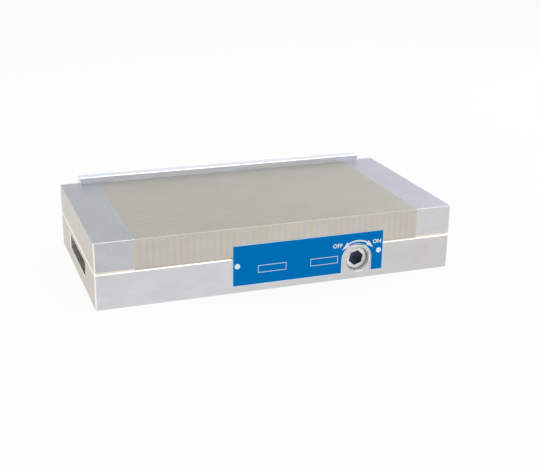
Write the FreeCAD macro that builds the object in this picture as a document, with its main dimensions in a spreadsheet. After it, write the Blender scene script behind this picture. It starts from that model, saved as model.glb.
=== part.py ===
"""Permanent-magnet chuck with a fine-pole work plate, worked by a hexagon key.

Millimetres. +X runs along the chuck, -Y is the front with the key socket, +Z is up.
The origin is the centre of the underside. The chuck is drawn switched off.
"""
import FreeCAD, Part
import math
import os

import Sketcher

# Driving sizes: alias, value, what it measures.
SIZES = (
    # Outside
    ("length", 250, "overall length"),
    ("width", 130, "width without the stop rail"),
    ("plate_thickness", 20.8, "work plate"),
    ("joint_chamfer", 1.0, "chamfers that meet at the joint line"),
    ("corner_chamfer", 0.8, "upright corner edges"),
    ("top_chamfer", 0.3, "edges of the work face"),
    ("foot_chamfer", 0.5, "edges of the underside"),
    # Base housing
    ("floor_thickness", 4, "floor under the magnet pack"),
    ("end_wall", 26, "solid ends that hold the clamp pockets"),
    ("side_wall", 11, "front and rear walls"),
    ("cavity_radius", 3, "upright inner corners of the housing"),
    ("pocket_width", 60, "clamp pocket in each end"),
    ("pocket_height", 11, "clamp pocket"),
    ("pocket_depth", 14, "clamp pocket"),
    ("pocket_bottom", 9, "underside of the chuck to the pocket"),
    ("gasket_margin", 3, "cavity edge to the gasket"),
    ("gasket_width", 3, "gasket"),
    ("gasket_thickness", 1, "gasket in its groove"),
    # Work plate
    ("end_block", 26, "solid block at each end of the plate"),
    ("brass_strip", 0.5, "brass strips"),
    ("steel_target", 1.5, "steel strips, before they are fitted to the room between the end blocks"),
    ("rebate_depth", 4, "rear step that takes the stop rail"),
    # Fasteners between plate and base
    ("screw_diameter", 6, "plate screws"),
    ("screw_head_diameter", 10, "plate screw heads"),
    ("screw_head_height", 6, "plate screw heads"),
    ("screw_head_recess", 1, "head below the underside"),
    ("screw_head_gap", 0.5, "plate screw head to its counterbore, all round"),
    ("screw_key_depth", 3, "hexagon socket of the plate screws"),
    ("screw_reach", 12, "plate screw in the end block"),
    ("screw_key", 5, "hexagon socket of the plate screws, across flats"),
    ("screw_end_inset", 13, "plate screw to the end face"),
    ("screw_side_inset", 15, "plate screw to the side face"),
    ("dowel_diameter", 6, "locating dowels"),
    ("dowel_length", 20, "half in the base, half in the plate"),
    ("dowel_side_inset", 27, "dowel to the side face"),
    # Stop rail
    ("rail_end_gap", 13.75, "rail end to the chuck's end face"),
    ("rail_thickness", 8, "stop rail"),
    ("rail_height", 20, "stop rail"),
    ("rail_rise", 4.8, "rail top above the work face"),
    ("rail_chamfer", 0.6, "rail edges"),
    ("rail_gap", 0.1, "sliding gap round the rail"),
    ("rail_screw_diameter", 5, "rail screws"),
    ("rail_head_diameter", 8.5, "rail screw heads"),
    ("rail_head_height", 3, "rail screw heads"),
    ("rail_web", 4, "rail under the screw head"),
    ("rail_screw_reach", 10, "rail screw in the end block"),
    ("rail_screw_inset", 6.1, "rail screw into the end block from the strips"),
    ("rail_screw_drop", 7.5, "rail screw below the work face"),
    ("rail_key", 4, "hexagon socket of the rail screws, across flats"),
    ("rail_key_depth", 2, "hexagon socket of the rail screws"),
    ("slot_gap", 0.3, "screw to slot, all round"),
    # Cam shaft
    ("cam_place", 55.7, "key socket to the middle of the chuck"),
    ("shaft_diameter", 16, "cam shaft"),
    ("shaft_play", 0.05, "running clearance in the bush, on the radius"),
    ("bush_wall", 0.95, "wrapped bush"),
    ("bush_length", 8, "wrapped bush"),
    ("mouth_gap", 0.3, "shaft to the mouth of its bore, on the radius"),
    ("mouth_chamfer", 0.5, "edge of the mouth"),
    ("bore_roof", 2.2, "housing above the bush"),
    ("bore_floor_gap", 0.5, "floor to the bush"),
    ("shaft_recess", 4, "front face to the shaft end"),
    ("shaft_end_chamfer", 0.6, "shaft end"),
    ("key_flats", 9.6, "hexagon socket of the shaft, across flats"),
    ("key_depth", 11, "hexagon socket of the shaft"),
    ("key_turn", 13, "turn of the hexagon at rest, degrees"),
    ("seal_section", 1.5, "shaft seal"),
    ("seal_place", 4, "shaft seal to the inner face of the wall"),
    ("fork_thickness", 3, "fork that keeps and stops the shaft"),
    ("fork_neck", 1.5, "depth of the shaft neck in the fork"),
    ("fork_gap", 0.3, "neck to fork"),
    ("fork_end_gap", 0.1, "neck to fork, along the shaft"),
    ("fork_half_width", 18, "fork, to each side of the shaft"),
    ("fork_floor_gap", 0.3, "fork to the floor"),
    ("fork_screw_offset", 13, "fork screw to the shaft axis"),
    ("fork_screw_diameter", 3, "fork screws"),
    ("fork_screw_head", 5, "fork screw heads"),
    ("fork_screw_head_height", 1.8, "fork screw heads"),
    ("fork_screw_reach", 6, "fork screw in the wall"),
    ("lug_half_angle", 10, "half of the stop lug, degrees"),
    ("lug_rise", 2, "stop lug above the shaft"),
    ("lug_root", 1, "stop lug sunk in the neck"),
    ("stop_play", 1, "play at each stop, degrees"),
    ("collar_length", 3, "shaft behind the fork"),
    ("crank_diameter", 5, "eccentric pin"),
    ("roller_diameter", 8, "roller on the eccentric pin"),
    ("roller_length", 4.6, "roller on the eccentric pin"),
    ("roller_end_gap", 0.2, "front face of the pack to the roller"),
    ("clip_thickness", 0.8, "clip behind the roller"),
    ("clip_width", 1.1, "clip round the eccentric pin"),
    ("clip_gap", 0.1, "roller to the clip"),
    ("crank_over", 0.2, "eccentric pin beyond the clip"),
    # Magnet pack
    ("wear_thickness", 3, "strips that carry the pack"),
    ("wear_width", 12, "strips that carry the pack"),
    ("wear_wall_inset", 22, "side wall to the middle of the strip"),
    ("wear_end_gap", 2, "end wall to the strip"),
    ("guide_length", 20, "side guides"),
    ("guide_end_inset", 24, "end wall to the middle of a side guide"),
    ("guide_front_place", 0, "second front guide, which keeps clear of the cam"),
    ("guide_gap", 0.1, "side guide to the pack"),
    ("pack_front_space", 7, "front wall to the pack"),
    ("pack_rear_space", 3.6, "rear wall to the pack"),
    ("pack_end_space", 0.8, "end wall to the pack at its limits"),
    ("air_gap", 0.3, "pack to the work plate"),
    ("keeper_thickness", 3, "steel plate under the magnets"),
    ("yoke_thickness", 6, "front and rear bars of the pack"),
    ("yoke_gap", 0.8, "roller to the sides of its slot"),
    ("end_bar_least", 6, "end bars of the pack, at least"),
    ("pack_screw_diameter", 4, "screws of the pack"),
    ("pack_screw_head", 8, "screws of the pack"),
    ("pack_screw_head_height", 2, "screws of the pack"),
    ("pack_screw_length", 12, "screws of the pack"),
    # Label
    ("label_length", 108.3, "label plate"),
    ("label_height", 28.5, "label plate"),
    ("label_thickness", 0.6, "label plate"),
    ("label_radius", 1.6, "corners of the label"),
    ("label_place", 19.55, "label centre to the middle of the chuck"),
    ("label_bottom", 5.05, "underside of the chuck to the label"),
    ("label_window_margin", 2.6, "mouth of the bore to the cut-out in the label"),
    ("label_window_shift", 1.6, "cut-out to the left of the shaft axis"),
    ("label_window_rise", 1.0, "centre of the round end of the cut-out above the shaft axis"),
    ("label_pin_inset", 3.2, "label pin to the label end"),
    ("label_pin_height", 19.1, "label pin above the underside"),
    ("label_pin_diameter", 2.6, "label pins"),
    ("label_pin_reach", 5, "label pin in the base"),
    ("label_hole_diameter", 3.4, "pin hole in the label"),
    # Cuts
    ("cut_over", 1, "how far a cut runs past an open edge"),
)

# Worked-out sizes: name, expression.
FITS = (
    ("half_length", "Sizes.length / 2"),
    ("half_width", "Sizes.width / 2"),
    ("shaft_radius", "Sizes.shaft_diameter / 2"),
    ("bush_bore", "Fits.shaft_radius + Sizes.shaft_play"),
    ("bush_radius", "Fits.bush_bore + Sizes.bush_wall"),
    ("cam_height", "Sizes.floor_thickness + Sizes.bore_floor_gap + Fits.bush_radius"),
    ("joint_height", "Fits.cam_height + Fits.bush_radius + Sizes.bore_roof"),
    ("height", "Fits.joint_height + Sizes.plate_thickness"),
    ("cavity_x", "Fits.half_length - Sizes.end_wall"),
    ("cavity_y", "Fits.half_width - Sizes.side_wall"),
    ("gasket_x", "Fits.cavity_x + Sizes.gasket_margin"),
    ("gasket_y", "Fits.cavity_y + Sizes.gasket_margin"),
    ("zone_x", "Fits.half_length - Sizes.end_block"),
    ("target_pitch", "Sizes.brass_strip + Sizes.steel_target"),
    ("brass_count", "floor((2 * Fits.zone_x + Sizes.steel_target) / Fits.target_pitch)"),
    ("steel_strip", "(2 * Fits.zone_x - Fits.brass_count * Sizes.brass_strip) / (Fits.brass_count - 1)"),
    ("pitch", "Sizes.brass_strip + Fits.steel_strip"),
    ("rebate_y", "Fits.half_width - Sizes.rebate_depth"),
    ("screw_x", "Fits.half_length - Sizes.screw_end_inset"),
    ("screw_y", "Fits.half_width - Sizes.screw_side_inset"),
    ("dowel_y", "Fits.half_width - Sizes.dowel_side_inset"),
    ("rail_x", "Fits.half_length - Sizes.rail_end_gap"),
    ("rail_front", "Fits.rebate_y + Sizes.rail_gap"),
    ("rail_rear", "Fits.rail_front + Sizes.rail_thickness"),
    ("rail_top", "Fits.height + Sizes.rail_rise"),
    ("rail_bottom", "Fits.rail_top - Sizes.rail_height"),
    ("rail_screw_x", "Fits.zone_x + Sizes.rail_screw_inset"),
    ("rail_screw_z", "Fits.height - Sizes.rail_screw_drop"),
    ("rail_shoulder", "Fits.rail_front + Sizes.rail_web"),
    ("eccentric", "Fits.pitch"),
    ("shaft_end", "-Fits.half_width + Sizes.shaft_recess"),
    ("wall_face", "-Fits.cavity_y"),
    ("bush_front", "Fits.wall_face - Sizes.bush_length"),
    ("neck_end", "Fits.wall_face + Sizes.fork_thickness + Sizes.fork_end_gap"),
    ("neck_radius", "Fits.shaft_radius - Sizes.fork_neck"),
    ("collar_end", "Fits.neck_end + Sizes.collar_length"),
    ("lug_radius", "Fits.shaft_radius + Sizes.lug_rise"),
    ("fork_bottom", "Sizes.floor_thickness + Sizes.fork_floor_gap - Fits.cam_height"),
    ("stop_angle", "Sizes.lug_half_angle + Sizes.stop_play"),
    ("fork_screw_z", "(Fits.fork_bottom - Sizes.fork_screw_offset * tan(Fits.stop_angle * 1 deg)) / 2"),
    ("pack_front", "Fits.wall_face + Sizes.pack_front_space"),
    ("pack_rear", "Fits.cavity_y - Sizes.pack_rear_space"),
    ("magnet_front", "Fits.pack_front + Sizes.yoke_thickness"),
    ("magnet_rear", "Fits.pack_rear - Sizes.yoke_thickness"),
    ("roller_front", "Fits.pack_front + Sizes.roller_end_gap"),
    ("roller_rear", "Fits.roller_front + Sizes.roller_length"),
    ("clip_front", "Fits.roller_rear + Sizes.clip_gap"),
    ("crank_end", "Fits.clip_front + Sizes.clip_thickness + Sizes.crank_over"),
    ("pack_left", "-Fits.cavity_x + Sizes.pack_end_space"),
    ("pack_right", "Fits.cavity_x - Sizes.pack_end_space - 2 * Fits.eccentric"),
    ("pack_bottom", "Sizes.floor_thickness + Sizes.wear_thickness"),
    ("pack_top", "Fits.joint_height - Sizes.air_gap"),
    ("magnet_bottom", "Fits.pack_bottom + Sizes.keeper_thickness"),
    ("pole", "2 * Fits.pitch"),
    ("pole_room", "Fits.pack_right - Fits.pack_left - 2 * Sizes.end_bar_least"),
    ("pole_count", "floor((Fits.pole_room / Fits.pole + 1) / 2)"),
    ("pole_half", "(2 * Fits.pole_count - 1) * Fits.pole / 2"),
    ("pack_middle", "(Fits.pack_left + Fits.pack_right) / 2"),
    ("pole_left", "Fits.pack_middle - Fits.pole_half"),
    ("pole_right", "Fits.pack_middle + Fits.pole_half"),
    ("end_bar", "Fits.pole_left - Fits.pack_left"),
    ("crank_rest", "Sizes.cam_place - Fits.eccentric"),
    ("slot_half", "Sizes.roller_diameter / 2 + Sizes.yoke_gap"),
    ("slot_bottom", "Fits.cam_height - Sizes.roller_diameter / 2 - Sizes.yoke_gap"),
    ("pack_screw_z", "(Fits.magnet_bottom + Fits.pack_top) / 2"),
    ("wear_y", "Fits.cavity_y - Sizes.wear_wall_inset"),
    ("wear_x", "Fits.cavity_x - Sizes.wear_end_gap"),
    ("guide_x", "Fits.cavity_x - Sizes.guide_end_inset"),
    ("mouth", "Sizes.shaft_diameter + 2 * Sizes.mouth_gap"),
    ("window", "Fits.mouth + 2 * Sizes.label_window_margin"),
    ("window_x", "Sizes.cam_place - Sizes.label_window_shift"),
    ("window_z", "Fits.cam_height + Sizes.label_window_rise"),
    ("label_left", "Sizes.label_place - Sizes.label_length / 2"),
    ("label_right", "Sizes.label_place + Sizes.label_length / 2"),
    ("label_top", "Sizes.label_bottom + Sizes.label_height"),
    ("label_face", "-Fits.half_width - Sizes.label_thickness"),
)


# Document and sheet

def make_sheet(doc):
    sheet = doc.addObject("Spreadsheet::Sheet", "Sizes")
    for row, (alias, value, note) in enumerate(SIZES, start=1):
        sheet.set("A%d" % row, note)
        sheet.set("B%d" % row, str(value))
        sheet.setAlias("B%d" % row, alias)
    doc.recompute()


def make_fits(doc):
    fits = doc.addObject("App::VarSet", "Fits")
    for name, expression in FITS:
        fits.addProperty("App::PropertyFloat", name, "Fits")
        fits.setExpression(name, expression)
        doc.recompute()
    return fits


# Sketches

def new_body(doc, name):
    body = doc.addObject("PartDesign::Body", name)
    body.Label = name
    return body


def place(thing, along_x=None, along_y=None, along_z=None):
    for letter, expression in (("x", along_x), ("y", along_y), ("z", along_z)):
        if expression is not None:
            thing.setExpression("Placement.Base.%s" % letter, expression)


def origin_feature(body, role):
    return next(part for part in body.Origin.OriginFeatures if part.Role == role)


def new_sketch(body, plane, offset="0"):
    """A sketch on one of the body's own origin planes, moved along that plane's normal."""
    sketch = body.newObject("Sketcher::SketchObject", body.Name + "_sketch")
    sketch.AttachmentSupport = [(origin_feature(body, plane), "")]
    sketch.MapMode = "FlatFace"
    sketch.setExpression("AttachmentOffset.Base.z", offset)
    return sketch


def dimension(sketch, kind, geometry, point, expression):
    """Hold a point of the sketch at a distance from its origin."""
    index = sketch.addConstraint(Sketcher.Constraint(kind, -1, 1, geometry, point, 1.0))
    sketch.setExpression("Constraints[%d]" % index, expression)


def outline(corners):
    """A drawing function for a closed outline through corners, pairs of expressions."""
    def draw(sketch):
        count = len(corners)
        first = sketch.GeometryCount
        turn = 2 * math.pi / count
        start = [FreeCAD.Vector(math.cos(turn * k), math.sin(turn * k), 0) for k in range(count)]
        for k in range(count):
            sketch.addGeometry(Part.LineSegment(start[k], start[(k + 1) % count]), False)
        for k in range(count):
            after = first + (k + 1) % count
            sketch.addConstraint(Sketcher.Constraint("Coincident", first + k, 2, after, 1))
        for k, (across, up) in enumerate(corners):
            dimension(sketch, "DistanceX", first + k, 1, across)
            dimension(sketch, "DistanceY", first + k, 1, up)
    return draw


def rectangle(left, right, bottom, top):
    return outline([(left, bottom), (right, bottom), (right, top), (left, top)])


def circles(centres, diameter):
    """A drawing function for equal circles."""
    def draw(sketch):
        for across, up in centres:
            circle = Part.Circle(FreeCAD.Vector(1, 1, 0), FreeCAD.Vector(0, 0, 1), 1)
            geometry = sketch.addGeometry(circle, False)
            index = sketch.addConstraint(Sketcher.Constraint("Diameter", geometry, 2.0))
            sketch.setExpression("Constraints[%d]" % index, diameter)
            dimension(sketch, "DistanceX", geometry, 3, across)
            dimension(sketch, "DistanceY", geometry, 3, up)
    return draw


def hexagons(centres, flats, turn="0"):
    """A drawing function for equal hexagons, one corner up and then turned clockwise."""
    reach = "(%s) / 2 / cos(30 deg)" % flats

    def draw(sketch):
        for across, up in centres:
            corners = []
            for corner in range(6):
                angle = "((%d - (%s)) * 1 deg)" % (90 + 60 * corner, turn)
                corners.append(("%s + %s * cos(%s)" % (across, reach, angle),
                                "%s + %s * sin(%s)" % (up, reach, angle)))
            outline(corners)(sketch)
    return draw


# Features

PLANES = {"X": "YZ_Plane", "Y": "XZ_Plane", "Z": "XY_Plane"}


def add(body, axis, low, high, draw):
    """Pad a drawing between two places along an axis."""
    start = "-(%s)" % high if axis == "Y" else low
    sketch = new_sketch(body, PLANES[axis], start)
    draw(sketch)
    pad = body.newObject("PartDesign::Pad", body.Name + "_pad")
    pad.Profile = sketch
    pad.setExpression("Length", "(%s) - (%s)" % (high, low))
    return pad


def cut(body, axis, low, high, draw):
    """Pocket a drawing between two places along an axis."""
    start = "-(%s)" % low if axis == "Y" else high
    sketch = new_sketch(body, PLANES[axis], start)
    draw(sketch)
    pocket = body.newObject("PartDesign::Pocket", body.Name + "_pocket")
    pocket.Profile = sketch
    pocket.setExpression("Length", "(%s) - (%s)" % (high, low))
    return pocket


def turned(body, profile, remove=False):
    """Turn a profile of (radius, place along Y) about the body's own Y axis."""
    sketch = new_sketch(body, "XY_Plane")
    outline(profile)(sketch)
    kind = "PartDesign::Groove" if remove else "PartDesign::Revolution"
    feature = body.newObject(kind, body.Name + "_turned")
    feature.Profile = sketch
    feature.ReferenceAxis = (sketch, ["V_Axis"])
    feature.Angle = 360
    return feature


def repeat(body, feature, count, pitch):
    """Repeat a feature along X, count times in all."""
    pattern = body.newObject("PartDesign::LinearPattern", body.Name + "_row")
    pattern.Originals = [feature]
    pattern.Direction = (origin_feature(body, "X_Axis"), [""])
    pattern.setExpression("Length", "((%s) - 1) * (%s)" % (count, pitch))
    pattern.setExpression("Occurrences", count)
    body.Tip = pattern
    return pattern


def edges_where(doc, feature, wanted):
    """Names of a feature's edges that pass a test on their bounding box."""
    doc.recompute()
    return ["Edge%d" % (number + 1) for number, edge in enumerate(feature.Shape.Edges)
            if wanted(edge.BoundBox)]


def soften(doc, body, feature, wanted, size, kind="Chamfer"):
    """Chamfer or fillet the edges that pass the test."""
    names = edges_where(doc, feature, wanted)
    if not names:
        raise ValueError("no edge to soften on " + body.Name)
    tool = body.newObject("PartDesign::" + kind, body.Name + "_edges")
    tool.Base = (feature, names)
    tool.setExpression("Radius" if kind == "Fillet" else "Size", size)
    body.Tip = tool
    return tool


def near(value, target):
    return abs(value - target) < 1e-4


def flat_at(box, axis, target):
    """True if a box lies in one plane across the axis."""
    low = getattr(box, axis + "Min")
    high = getattr(box, axis + "Max")
    return near(low, target) and near(high, target)


def upright_at(box, half_x, half_y):
    """True for an upright edge at a corner of a centred rectangle."""
    return (box.ZLength > 1 and near(abs(box.Center.x), half_x)
            and near(abs(box.Center.y), half_y) and box.XLength < 1e-4)


# Base housing

def screw_places():
    return [("%sFits.screw_x" % along, "%sFits.screw_y" % across) for along in "+-" for across in "+-"]


def dowel_places():
    return [("-Fits.screw_x", "Fits.dowel_y"), ("Fits.screw_x", "-Fits.dowel_y")]


def label_pin_places():
    inset = "Sizes.label_pin_inset"
    level = "Sizes.label_pin_height"
    return [("Fits.label_left + " + inset, level), ("Fits.label_right - " + inset, level)]


def fork_screw_places():
    level = "Fits.cam_height + Fits.fork_screw_z"
    return [("Sizes.cam_place %s Sizes.fork_screw_offset" % side, level) for side in "+-"]


def cut_cavity(doc, body, fits):
    """The open hollow for the magnet pack, with its milled corners."""
    pocket = cut(body, "Z", "Sizes.floor_thickness", "Fits.joint_height",
                 rectangle("-Fits.cavity_x", "Fits.cavity_x", "-Fits.cavity_y", "Fits.cavity_y"))

    def corner(box):
        return upright_at(box, fits.cavity_x, fits.cavity_y)
    soften(doc, body, pocket, corner, "Sizes.cavity_radius", "Fillet")


def cut_gasket_groove(body):
    """A shallow ring round the cavity: the groove's outer edge less an island inside it."""
    outer_x = "(Fits.gasket_x + Sizes.gasket_width)"
    outer_y = "(Fits.gasket_y + Sizes.gasket_width)"

    def draw(sketch):
        rectangle("-" + outer_x, outer_x, "-" + outer_y, outer_y)(sketch)
        rectangle("-Fits.gasket_x", "Fits.gasket_x", "-Fits.gasket_y", "Fits.gasket_y")(sketch)
    cut(body, "Z", "Fits.joint_height - Sizes.gasket_thickness", "Fits.joint_height", draw)


def cut_clamp_pockets(doc, body, fits, half_pocket):
    """The clamp pocket in each end, with a softened mouth."""
    window = rectangle("-Sizes.pocket_width / 2", "Sizes.pocket_width / 2", "Sizes.pocket_bottom",
                       "Sizes.pocket_bottom + Sizes.pocket_height")
    cut(body, "X", "Fits.half_length - Sizes.pocket_depth", "Fits.half_length", window)
    last = cut(body, "X", "-Fits.half_length", "-Fits.half_length + Sizes.pocket_depth", window)

    def mouth(box):
        at_end = flat_at(box, "X", fits.half_length) or flat_at(box, "X", -fits.half_length)
        return at_end and max(abs(box.YMin), abs(box.YMax)) < half_pocket + 0.1 and box.ZMin > 1
    soften(doc, body, last, mouth, "Sizes.foot_chamfer")


def cut_cam_bore(doc, body, fits):
    """The stepped bore for the cam shaft: a mouth, then the seat of the bush."""
    centre = [("Sizes.cam_place", "Fits.cam_height")]
    cut(body, "Y", "Fits.bush_front", "Fits.wall_face", circles(centre, "2 * Fits.bush_radius"))
    mouth = cut(body, "Y", "-Fits.half_width", "Fits.bush_front",
                circles(centre, "Fits.mouth"))

    def rim(box):
        on_front = flat_at(box, "Y", -fits.half_width)
        return on_front and near(box.XLength, box.ZLength) and box.XLength > fits.shaft_radius
    soften(doc, body, mouth, rim, "Sizes.mouth_chamfer")


def cut_base_holes(body):
    """Counterbored screw holes, dowel holes and the small front holes."""
    head_top = "Sizes.screw_head_recess + Sizes.screw_head_height"
    counterbore = "Sizes.screw_head_diameter + 2 * Sizes.screw_head_gap"
    cut(body, "Z", "0", head_top, circles(screw_places(), counterbore))
    cut(body, "Z", head_top, "Fits.joint_height", circles(screw_places(), "Sizes.screw_diameter"))
    cut(body, "Z", "Fits.joint_height - Sizes.dowel_length / 2", "Fits.joint_height",
        circles(dowel_places(), "Sizes.dowel_diameter"))
    cut(body, "Y", "-Fits.half_width", "-Fits.half_width + Sizes.label_pin_reach",
        circles(label_pin_places(), "Sizes.label_pin_diameter"))
    cut(body, "Y", "Fits.wall_face - Sizes.fork_screw_reach", "Fits.wall_face",
        circles(fork_screw_places(), "Sizes.fork_screw_diameter"))


def soften_base(doc, body, block, fits):
    """Outer edges of the base: corners, joint line and underside."""
    def corner(box):
        return upright_at(box, fits.half_length, fits.half_width)
    corners = soften(doc, body, block, corner, "Sizes.corner_chamfer")

    def joint(box):
        return flat_at(box, "Z", fits.joint_height)
    upper = soften(doc, body, corners, joint, "Sizes.joint_chamfer")

    def foot(box):
        return flat_at(box, "Z", 0)
    soften(doc, body, upper, foot, "Sizes.foot_chamfer")


def base_housing(doc, fits, half_pocket):
    body = new_body(doc, "base_housing")
    block = add(body, "Z", "0", "Fits.joint_height",
                rectangle("-Fits.half_length", "Fits.half_length", "-Fits.half_width", "Fits.half_width"))
    soften_base(doc, body, block, fits)
    cut_cavity(doc, body, fits)
    cut_gasket_groove(body)
    cut_clamp_pockets(doc, body, fits, half_pocket)
    cut_cam_bore(doc, body, fits)
    cut_base_holes(body)


def plate_gasket(doc):
    body = new_body(doc, "plate_gasket")
    low = "Fits.joint_height - Sizes.gasket_thickness"
    outer_x = "(Fits.gasket_x + Sizes.gasket_width)"
    outer_y = "(Fits.gasket_y + Sizes.gasket_width)"
    add(body, "Z", low, "Fits.joint_height", rectangle("-" + outer_x, outer_x, "-" + outer_y, outer_y))
    cut(body, "Z", low, "Fits.joint_height",
        rectangle("-Fits.gasket_x", "Fits.gasket_x", "-Fits.gasket_y", "Fits.gasket_y"))


# Work plate

def end_block(doc, fits, name, side):
    """One solid end of the work plate; side is + for the right end and - for the left."""
    body = new_body(doc, name)
    inner = side + "Fits.zone_x"
    outer = side + "Fits.half_length"
    notch = side + "(Fits.rail_x + Sizes.rail_gap)"
    left, right = (inner, outer) if side == "+" else (outer, inner)
    block = add(body, "Z", "Fits.joint_height", "Fits.height",
                rectangle(left, right, "-Fits.half_width", "Fits.half_width"))
    outer_x = fits.half_length if side == "+" else -fits.half_length

    def corner(box):
        return upright_at(box, fits.half_length, fits.half_width)
    corners = soften(doc, body, block, corner, "Sizes.corner_chamfer")

    def joint(box):
        inner_edge = flat_at(box, "X", math.copysign(fits.zone_x, outer_x))
        return flat_at(box, "Z", fits.joint_height) and not inner_edge
    lower = soften(doc, body, corners, joint, "Sizes.joint_chamfer")

    def top(box):
        inner_edge = flat_at(box, "X", math.copysign(fits.zone_x, outer_x))
        return flat_at(box, "Z", fits.height) and not inner_edge
    soften(doc, body, lower, top, "Sizes.top_chamfer")
    left, right = (inner, notch) if side == "+" else (notch, inner)
    cut(body, "Z", "Fits.joint_height", "Fits.height",
        rectangle(left, right, "Fits.rebate_y", "Fits.half_width"))
    cut_block_holes(body, side)


def cut_block_holes(body, side):
    """Tapped holes from below, the dowel hole and the tapped hole of the rail screw."""
    low = "Fits.joint_height"
    screws = [spot for spot in screw_places() if spot[0].startswith(side)]
    cut(body, "Z", low, low + " + Sizes.screw_reach", circles(screws, "Sizes.screw_diameter"))
    dowel = dowel_places()[1 if side == "+" else 0]
    cut(body, "Z", low, low + " + Sizes.dowel_length / 2", circles([dowel], "Sizes.dowel_diameter"))
    rail = [(side + "Fits.rail_screw_x", "Fits.rail_screw_z")]
    cut(body, "Y", "Fits.rebate_y - Sizes.rail_screw_reach", "Fits.rebate_y",
        circles(rail, "Sizes.rail_screw_diameter"))


def strip_section():
    """Section of a strip across the chuck, with its front edges softened."""
    front = "-Fits.half_width"
    low = "Fits.joint_height"
    high = "Fits.height"
    return [(front + " + Sizes.joint_chamfer", low), ("Fits.rebate_y", low), ("Fits.rebate_y", high),
            (front + " + Sizes.top_chamfer", high), (front, high + " - Sizes.top_chamfer"),
            (front, low + " + Sizes.joint_chamfer")]


def strips(doc, name, first, thickness, count):
    """Every second strip of the work plate, from the first one's left face."""
    body = new_body(doc, name)
    single = add(body, "X", first, first + " + " + thickness, outline(strip_section()))
    repeat(body, single, count, "Fits.pitch")


def plate_screws(doc):
    """Socket screws from below that hold the plate down."""
    body = new_body(doc, "plate_screws")
    bottom = "Sizes.screw_head_recess"
    head_top = "Sizes.screw_head_recess + Sizes.screw_head_height"
    add(body, "Z", bottom, head_top, circles(screw_places(), "Sizes.screw_head_diameter"))
    add(body, "Z", head_top, "Fits.joint_height + Sizes.screw_reach",
        circles(screw_places(), "Sizes.screw_diameter"))
    cut(body, "Z", bottom, bottom + " + Sizes.screw_key_depth",
        hexagons(screw_places(), "Sizes.screw_key"))


def plate_dowels(doc):
    body = new_body(doc, "plate_dowels")
    add(body, "Z", "Fits.joint_height - Sizes.dowel_length / 2", "Fits.joint_height + Sizes.dowel_length / 2",
        circles(dowel_places(), "Sizes.dowel_diameter"))


# Stop rail

def rail_slot(half_width):
    """Upright slots, one at each end, drawn as an eight-sided stadium with room for the drop."""
    low = "Fits.rail_screw_z"
    high = "Fits.rail_screw_z + Sizes.rail_rise"
    cheek = "%s * tan(22.5 deg)" % half_width

    def draw(sketch):
        for side in "+-":
            middle = side + "Fits.rail_screw_x"
            outline([
                ("%s - %s" % (middle, half_width), "%s - %s" % (low, cheek)),
                ("%s - %s" % (middle, cheek), "%s - %s" % (low, half_width)),
                ("%s + %s" % (middle, cheek), "%s - %s" % (low, half_width)),
                ("%s + %s" % (middle, half_width), "%s - %s" % (low, cheek)),
                ("%s + %s" % (middle, half_width), "%s + %s" % (high, cheek)),
                ("%s + %s" % (middle, cheek), "%s + %s" % (high, half_width)),
                ("%s - %s" % (middle, cheek), "%s + %s" % (high, half_width)),
                ("%s - %s" % (middle, half_width), "%s + %s" % (high, cheek)),
            ])(sketch)
    return draw


def stop_rail(doc, fits):
    body = new_body(doc, "stop_rail")
    bar = add(body, "X", "-Fits.rail_x", "Fits.rail_x",
              rectangle("Fits.rail_front", "Fits.rail_rear", "Fits.rail_bottom", "Fits.rail_top"))

    def any_edge(box):
        return box.DiagonalLength > 0
    soften(doc, body, bar, any_edge, "Sizes.rail_chamfer")
    cut(body, "Y", "Fits.rail_front", "Fits.rail_rear",
        rail_slot("(Sizes.rail_screw_diameter / 2 + Sizes.slot_gap)"))
    cut(body, "Y", "Fits.rail_shoulder", "Fits.rail_rear",
        rail_slot("(Sizes.rail_head_diameter / 2 + Sizes.slot_gap)"))


def rail_screws(doc):
    body = new_body(doc, "rail_screws")
    centres = [(side + "Fits.rail_screw_x", "Fits.rail_screw_z") for side in "+-"]
    head_end = "Fits.rail_shoulder + Sizes.rail_head_height"
    add(body, "Y", "Fits.rebate_y - Sizes.rail_screw_reach", "Fits.rail_shoulder",
        circles(centres, "Sizes.rail_screw_diameter"))
    add(body, "Y", "Fits.rail_shoulder", head_end, circles(centres, "Sizes.rail_head_diameter"))
    cut(body, "Y", head_end + " - Sizes.rail_key_depth", head_end, hexagons(centres, "Sizes.rail_key"))


# Cam shaft

def on_cam_axis(body):
    place(body, "Sizes.cam_place", None, "Fits.cam_height")


def shaft_profile():
    """Half section of the shaft: end, journal, neck for the fork, collar."""
    journal = "Fits.shaft_radius"
    end = "Fits.shaft_end"
    return [("0", end), (journal + " - Sizes.shaft_end_chamfer", end),
            (journal, end + " + Sizes.shaft_end_chamfer"), (journal, "Fits.wall_face"),
            ("Fits.neck_radius", "Fits.wall_face"), ("Fits.neck_radius", "Fits.neck_end"),
            (journal, "Fits.neck_end"), (journal, "Fits.collar_end"), ("0", "Fits.collar_end")]


def lug_section():
    """The stop lug, a wedge that points to the left while the chuck is off."""
    inner = "(Fits.neck_radius - Sizes.lug_root)"
    turn = "(Sizes.lug_half_angle * 1 deg)"
    return [("-%s * cos%s" % (inner, turn), "-%s * sin%s" % (inner, turn)),
            ("-Fits.lug_radius * cos%s" % turn, "-Fits.lug_radius * sin%s" % turn),
            ("-Fits.lug_radius * cos%s" % turn, "Fits.lug_radius * sin%s" % turn),
            ("-%s * cos%s" % (inner, turn), "%s * sin%s" % (inner, turn))]


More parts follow.
